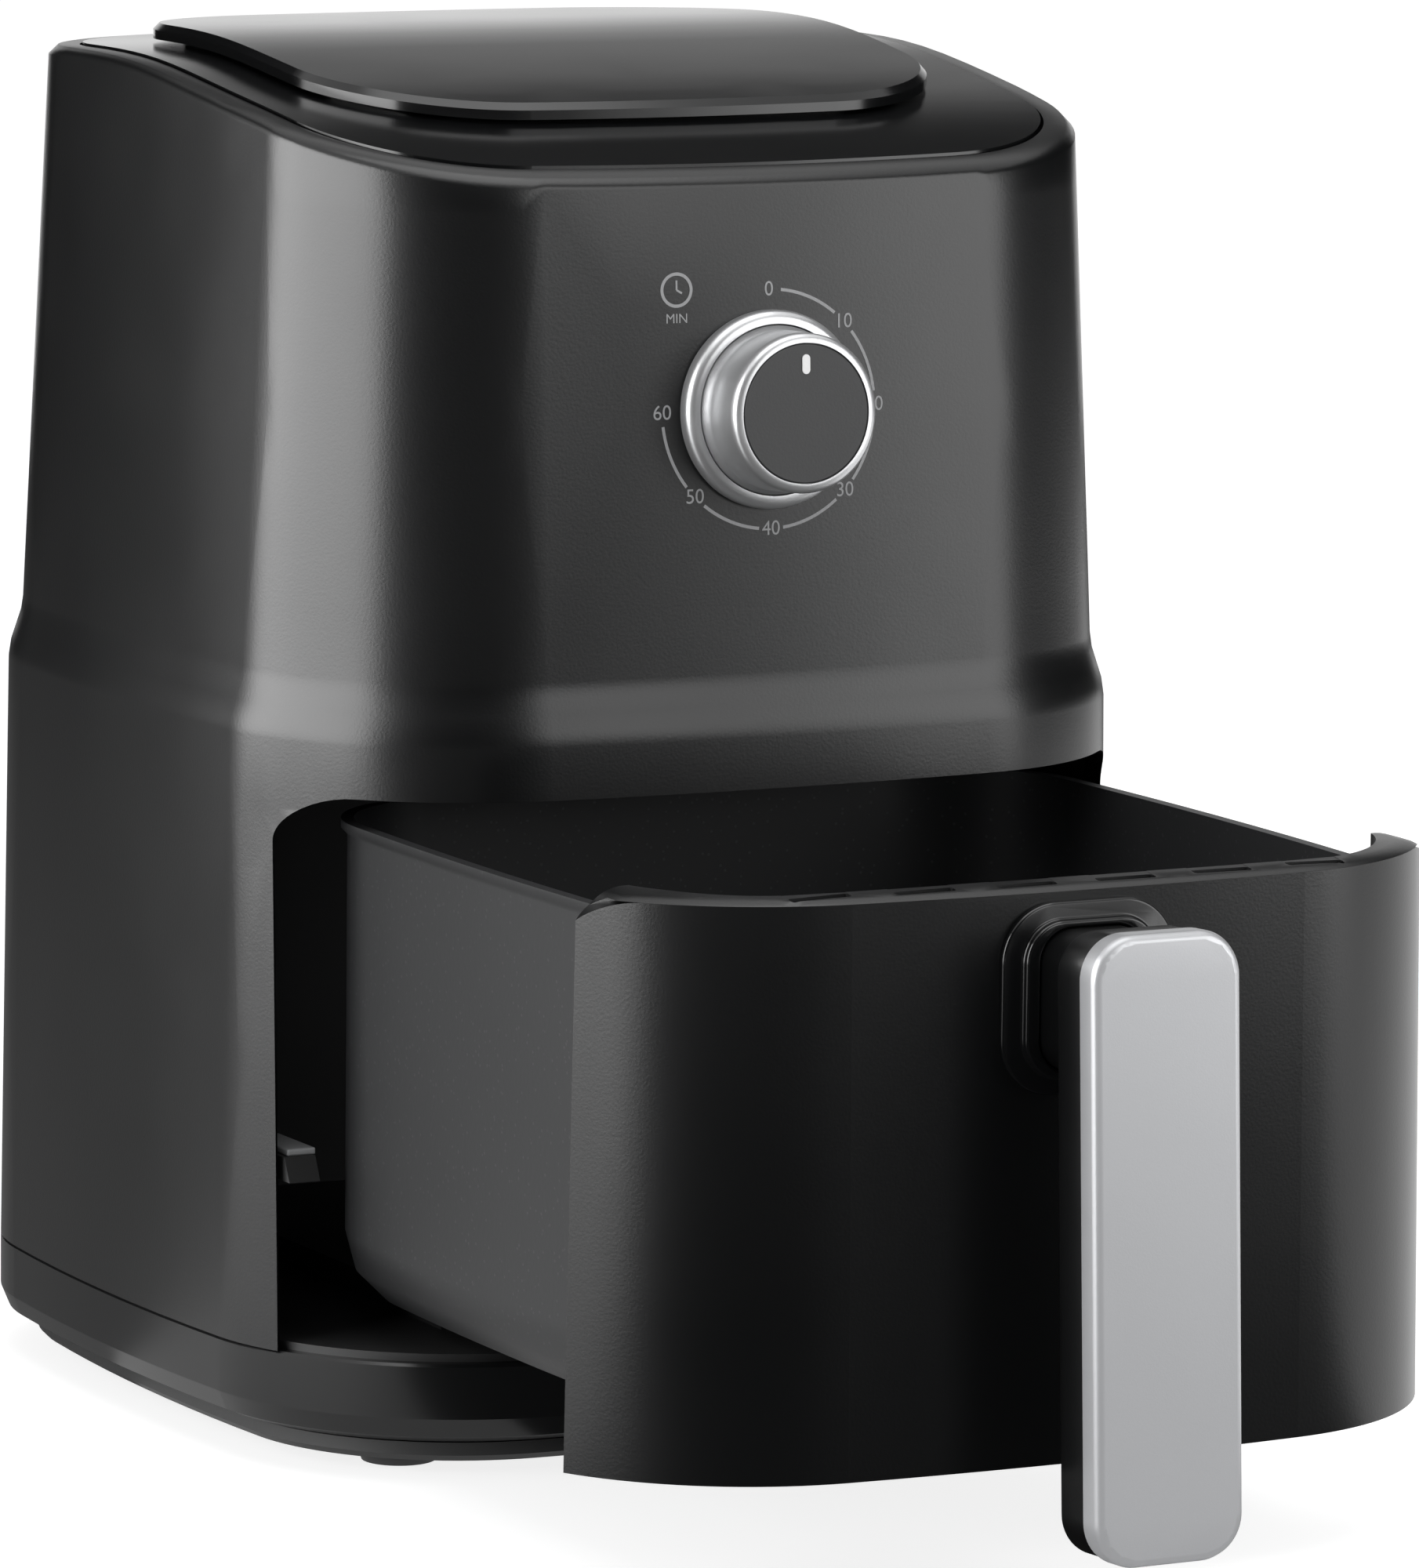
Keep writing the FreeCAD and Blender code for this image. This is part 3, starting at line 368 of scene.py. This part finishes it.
# Feet and tray bumpers: the feet are pressed rubber pushed into the base, and the bumpers are
# silicone, clipped on the tray's rim. Both are quite matt.
soft_rubber = grained("soft_rubber", (0.02, 0.02, 0.021), 0.8, grain=500.0, depth=0.15)
coat(soft_rubber, "foot_1", "foot_2", "foot_3", "foot_4", "tray_bumpers")

# Bright trim: the dial's ring and knob, and the handle's face plate. They are moulded and sprayed
# with a fine satin silver lacquer, which is brighter on the dial.
satin_silver = grained("satin_silver", (0.5, 0.505, 0.52), 0.34,
                       grain=1900.0, depth=0.06, metallic=0.4)
dial_silver = grained("dial_silver", (0.6, 0.605, 0.615), 0.3,
                      grain=1900.0, depth=0.06, metallic=0.72)
dress("knob", "timer_knob", dial_silver, sharp=50, flat_faces=True)
dress("dial_bezel", "body", dial_silver, sharp=60, flat_faces=True)
dress("handle_plate", "drawer", satin_silver, sharp=60, flat_faces=True)

# Knob face: a matt black disc pressed into the knob's rim, with a white pointer moulded into it
# that shows the minutes.
knob_black = grained("knob_black", (0.021, 0.0215, 0.0225), 0.46, grain=1600.0, depth=0.1)
coat(knob_black, "knob_disc")
pointer_white = grained("pointer_white", (0.78, 0.78, 0.78), 0.5)
coat(pointer_white, "knob_pointer")

# Dial scale: minutes from 0 to 60 round three quarters of a turn, with thin arcs between the
# figures and a small clock beside them, pad-printed in grey on the grained front wall.
print_grey = grained("print_grey", (0.26, 0.262, 0.268), 0.5)
bpy.context.view_layer.update()
dial_low, dial_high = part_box("dial_bezel")
dial_z = (dial_low[2] + dial_high[2]) / 2
ink_lift = 0.00010
scale_radius = 0.0300
figure_size = 0.0052
arc_width = 0.0008
figure_count = 7
figure_step = 45
figure_room = 6.5


def wrap_on_wall(piece):
    """Lay a flat print, drawn in x and z, on the front wall."""
    for vertex in piece.data.vertices:
        start = Vector((vertex.co.x, -1.0, vertex.co.z))
        found, point, normal, face = shell.ray_cast(start, Vector((0, 1, 0)))
        vertex.co.y = point.y - ink_lift


def printed(piece, name):
    """Finish a print: its place goes into the mesh, and it rides on the casing."""
    piece.name = name
    bpy.ops.object.select_all(action="DESELECT")
    piece.select_set(True)
    bpy.context.view_layer.objects.active = piece
    bpy.ops.object.transform_apply(location=True, rotation=True, scale=True)
    wrap_on_wall(piece)
    piece.data.materials.clear()
    piece.data.materials.append(print_grey)
    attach(piece, "body")


def print_words(words, name, x, z, size):
    """Upright lettering centred on a place on the front wall."""
    bpy.ops.object.select_all(action="DESELECT")
    bpy.ops.object.text_add(rotation=(math.pi / 2, 0, 0))
    piece = bpy.context.object
    piece.data.body = words
    piece.data.size = size
    piece.data.align_x = "CENTER"
    piece.data.align_y = "CENTER"
    bpy.ops.object.convert(target="MESH")
    piece = bpy.context.object
    piece.location = (x, 0, z)
    printed(piece, name)


def flat_arc(x, z, radius, width, start, end):
    """A thin flat band of a ring, with its angles clockwise from straight up."""
    step = 3
    bpy.ops.object.select_all(action="DESELECT")
    bpy.ops.mesh.primitive_plane_add(size=width, rotation=(math.pi / 2, 0, 0),
                                     location=(x, 0, z + radius))
    piece = bpy.context.object
    bpy.ops.object.transform_apply(location=True, rotation=True, scale=True)
    bpy.ops.object.mode_set(mode="EDIT")
    bpy.ops.mesh.select_all(action="SELECT")
    bpy.ops.mesh.delete(type="ONLY_FACE")
    bpy.ops.mesh.select_all(action="DESELECT")
    bpy.ops.object.mode_set(mode="OBJECT")
    for vertex in piece.data.vertices:
        vertex.co.x = x
    bpy.ops.object.mode_set(mode="EDIT")
    bpy.ops.mesh.select_all(action="SELECT")
    bpy.ops.mesh.remove_doubles(threshold=width / 4)
    bpy.ops.transform.rotate(value=-math.radians(start), orient_axis="Y", center_override=(x, 0, z))
    bpy.ops.mesh.spin(steps=max(4, int((end - start) / step)), angle=math.radians(start - end),
                      center=(x, 0, z), axis=(0, 1, 0))
    bpy.ops.mesh.select_all(action="SELECT")
    bpy.ops.mesh.normals_make_consistent(inside=False)
    bpy.ops.object.mode_set(mode="OBJECT")
    return piece


def print_hand(name, x, z, width, length, turn):
    """A thin bar from a point, with its angle clockwise from straight up."""
    bpy.ops.object.select_all(action="DESELECT")
    bpy.ops.mesh.primitive_plane_add(size=1.0, rotation=(math.pi / 2, 0, 0))
    piece = bpy.context.object
    bpy.ops.object.transform_apply(location=True, rotation=True, scale=True)
    piece.data.transform(Matrix.Diagonal((width, 1, length, 1)) @ Matrix.Translation((0, 0, 0.5)))
    piece.data.transform(Matrix.Translation((x, 0, z)) @ Matrix.Rotation(math.radians(turn), 4, "Y"))
    printed(piece, name)


for count in range(figure_count):
    angle = math.radians(figure_step * count)
    figure_x = scale_radius * math.sin(angle)
    figure_z = dial_z + scale_radius * math.cos(angle)
    print_words(str(10 * count), "dial_figure_%d" % count, figure_x, figure_z, figure_size)
first_arc = flat_arc(0.0, dial_z, scale_radius, arc_width, figure_room, figure_step - figure_room)
dial_centre = Matrix.Translation((0, 0, dial_z))
for count in range(figure_count - 1):
    turn = Matrix.Rotation(math.radians(figure_step * count), 4, "Y")
    arc = copy_of(first_arc, dial_centre @ turn @ dial_centre.inverted())
    printed(arc, "dial_arc_%d" % count)
bpy.data.objects.remove(first_arc)

clock_x = -0.0257
clock_z = dial_z + 0.0306
clock_radius = 0.0040
hand_width = 0.0005
minute_hand = 0.0024
hour_hand = 0.0017
hour_turn = 120
word_drop = 0.0072
word_size = 0.0034
clock_ring = flat_arc(clock_x, clock_z, clock_radius, arc_width, 0, 360)
printed(clock_ring, "clock_ring")
print_hand("clock_minute_hand", clock_x, clock_z, hand_width, minute_hand, 0)
print_hand("clock_hour_hand", clock_x, clock_z, hand_width, hour_hand, hour_turn)
print_words("MIN", "clock_word", clock_x, clock_z - word_drop, word_size)

# Stage: a pale floor under soft studio light. The world is white to the camera and in
# reflections, and dimmer where it lights the casing.
floor_size = 40.0
floor_grey = 0.5
floor_glow = 0.82
casing_light = 0.4
bpy.ops.object.select_all(action="DESELECT")
bpy.ops.mesh.primitive_plane_add(size=floor_size)
floor = bpy.context.object
floor.name = "floor"
paper = bpy.data.materials.new("floor_paper")
paper.use_nodes = True
tree = paper.node_tree
tree.nodes.remove(tree.nodes["Principled BSDF"])
matt = tree.nodes.new("ShaderNodeBsdfDiffuse")
matt.inputs["Color"].default_value = (floor_grey, floor_grey, floor_grey, 1.0)
glow = tree.nodes.new("ShaderNodeEmission")
glow.inputs["Strength"].default_value = floor_glow
both = tree.nodes.new("ShaderNodeAddShader")
tree.links.new(matt.outputs[0], both.inputs[0])
tree.links.new(glow.outputs[0], both.inputs[1])
tree.links.new(both.outputs[0], tree.nodes["Material Output"].inputs["Surface"])
floor.data.materials.append(paper)

world = bpy.data.worlds.new("studio")
bpy.context.scene.world = world
world.use_nodes = True
tree = world.node_tree
backdrop = tree.nodes["Background"]
backdrop.inputs["Color"].default_value = (1.0, 1.0, 1.0, 1.0)
rays = tree.nodes.new("ShaderNodeLightPath")
seen = tree.nodes.new("ShaderNodeMath")
seen.operation = "MAXIMUM"
clear = tree.nodes.new("ShaderNodeMath")
clear.operation = "MAXIMUM"
level = tree.nodes.new("ShaderNodeMapRange")
level.inputs["To Min"].default_value = casing_light
level.inputs["To Max"].default_value = 1.0
tree.links.new(rays.outputs["Is Camera Ray"], seen.inputs[0])
tree.links.new(rays.outputs["Is Glossy Ray"], seen.inputs[1])
tree.links.new(seen.outputs[0], clear.inputs[0])
tree.links.new(rays.outputs["Is Transmission Ray"], clear.inputs[1])
tree.links.new(clear.outputs[0], level.inputs["Value"])
tree.links.new(level.outputs["Result"], backdrop.inputs["Strength"])

# Studio cards: black cloth stands round the machine out of shot, with a tall bright card at the
# left and a softer one at the right front. The black casing shows them as its wide highlights.
# Only reflections see the cards, so the lamps alone set how light the pieces are.
cloth_radius = 2.4
cloth_height = 2.2
bowl_rise = 0.03
card_sides = 180


def card_finish(name, low, high, low_light, high_light):
    """A card's glow, even or graded from its foot to its top."""
    finish = bpy.data.materials.new(name)
    finish.use_nodes = True
    tree = finish.node_tree
    tree.nodes.remove(tree.nodes["Principled BSDF"])
    glow = tree.nodes.new("ShaderNodeEmission")
    place = tree.nodes.new("ShaderNodeTexCoord")
    axes = tree.nodes.new("ShaderNodeSeparateXYZ")
    grade = tree.nodes.new("ShaderNodeMapRange")
    grade.inputs["From Min"].default_value = low
    grade.inputs["From Max"].default_value = high
    grade.inputs["To Min"].default_value = low_light
    grade.inputs["To Max"].default_value = high_light
    tree.links.new(place.outputs["Object"], axes.inputs[0])
    tree.links.new(axes.outputs["Z"], grade.inputs["Value"])
    tree.links.new(grade.outputs["Result"], glow.inputs["Strength"])
    tree.links.new(glow.outputs[0], tree.nodes["Material Output"].inputs["Surface"])
    return finish


def keep_sector(card, start, end):
    """Cut a round card down to the part between two angles from straight ahead."""
    bpy.ops.object.mode_set(mode="EDIT")
    bpy.ops.mesh.select_all(action="DESELECT")
    bpy.ops.object.mode_set(mode="OBJECT")
    for face in card.data.polygons:
        turn = math.degrees(math.atan2(face.center.x, -face.center.y))
        face.select = not (start < turn < end or start < turn - 360 < end)
    bpy.ops.object.mode_set(mode="EDIT")
    bpy.ops.mesh.delete(type="FACE")
    bpy.ops.object.mode_set(mode="OBJECT")


def reflected_only(card, finish):
    """Hide a card from all but reflections."""
    card.data.materials.append(finish)
    card.visible_camera = False
    card.visible_diffuse = False
    card.visible_shadow = False
    card.visible_transmission = False


def standing_card(name, start, end, radius, low, high, low_light, high_light):
    """A curved upright card, between two angles from straight ahead."""
    bpy.ops.object.select_all(action="DESELECT")
    bpy.ops.mesh.primitive_cylinder_add(vertices=card_sides, radius=radius, depth=high - low,
                                        end_fill_type="NOTHING", location=(0, 0, (low + high) / 2))
    card = bpy.context.object
    card.name = name
    bpy.ops.object.transform_apply(location=True, rotation=True, scale=True)
    keep_sector(card, start, end)
    reflected_only(card, card_finish(name, low, high, low_light, high_light))


def ground_card(name, start, end, radius, near_light, far_light):
    """A shallow bowl on the floor, so that its glow may be graded outwards by its height."""
    bpy.ops.object.select_all(action="DESELECT")
    bpy.ops.mesh.primitive_cone_add(vertices=card_sides, radius1=0.0, radius2=radius, depth=bowl_rise,
                                    end_fill_type="NOTHING", location=(0, 0, bowl_rise / 2))
    card = bpy.context.object
    card.name = name
    bpy.ops.object.transform_apply(location=True, rotation=True, scale=True)
    keep_sector(card, start, end)
    reflected_only(card, card_finish(name, 0.0, bowl_rise, near_light, far_light))


standing_card("cloth_front", start=-185, end=130, radius=cloth_radius,
              low=0.0, high=cloth_height, low_light=0.01, high_light=0.01)
standing_card("cloth_back", start=-230, end=-185, radius=cloth_radius,
              low=0.0, high=1.35, low_light=1.6, high_light=0.03)
standing_card("cloth_above", start=-230, end=-185, radius=cloth_radius,
              low=1.35, high=cloth_height, low_light=0.03, high_light=0.03)
standing_card("card_left", start=-134, end=-66, radius=1.6,
              low=0.0, high=1.3, low_light=7.5, high_light=7.5)
standing_card("card_right_edge", start=22, end=27, radius=0.95,
              low=0.20, high=0.7, low_light=1.2, high_light=1.2)
standing_card("card_right_middle", start=27, end=32, radius=0.95,
              low=0.20, high=0.7, low_light=2.3, high_light=2.3)
standing_card("card_right", start=32, end=56, radius=0.95,
              low=0.08, high=0.7, low_light=3.4, high_light=3.4)
ground_card("ground_front", start=-62, end=44, radius=1.5, near_light=0.01, far_light=0.01)
ground_card("ground_left", start=-131, end=-62, radius=1.6, near_light=0.6, far_light=1.9)
ground_card("ground_back", start=-230, end=-131, radius=2.4, near_light=0.26, far_light=0.0)


# Lamps: a softbox at the left, a broad one at the right front and a large one overhead. They
# light the pieces evenly at a plain level.
def softbox(name, turn, distance, height, width, tall, power):
    """A rectangular lamp at an azimuth from straight ahead, aimed at the machine's middle."""
    bpy.ops.object.light_add(type="AREA")
    lamp = bpy.context.object
    lamp.name = name
    lamp.data.shape = "RECTANGLE"
    lamp.data.size = width
    lamp.data.size_y = tall
    lamp.data.energy = power
    angle = math.radians(turn)
    lamp.location = (distance * math.sin(angle), -distance * math.cos(angle), height)
    aim = lamp_target - lamp.location
    lamp.rotation_euler = aim.to_track_quat("-Z", "Y").to_euler()


lamp_target = Vector((0, 0, 0.2))
softbox("lamp_left", turn=-80, distance=2.0, height=0.9, width=1.0, tall=1.0, power=8.0)
softbox("lamp_right", turn=25, distance=2.2, height=0.9, width=1.2, tall=1.2, power=14.0)
softbox("lamp_overhead", turn=0, distance=0.3, height=2.2, width=1.8, tall=1.8, power=20.0)

# Camera: a long lens a little above the lid and left of straight ahead, as the photograph was
# taken.
camera_turn = math.radians(27.42)
camera_dip = math.radians(8.44)
camera_roll = math.radians(0.63)
camera_place = Vector((-1.1359, -2.18119, 0.5347))
flat_right = Vector((math.cos(camera_turn), -math.sin(camera_turn), 0))
flat_up = Vector((math.sin(camera_turn) * math.sin(camera_dip),
                  math.cos(camera_turn) * math.sin(camera_dip), math.cos(camera_dip)))
right = math.cos(camera_roll) * flat_right + math.sin(camera_roll) * flat_up
up = math.cos(camera_roll) * flat_up - math.sin(camera_roll) * flat_right
view = Matrix((right, up, right.cross(up))).transposed().to_4x4()
bpy.ops.object.camera_add()
camera = bpy.context.object
camera.matrix_world = Matrix.Translation(camera_place) @ view
camera.data.lens = 224.8
camera.data.sensor_width = 36.0
camera.data.clip_end = 100.0
bpy.context.scene.camera = camera
bpy.context.scene.view_settings.view_transform = "Standard"

bpy.context.view_layer.update()
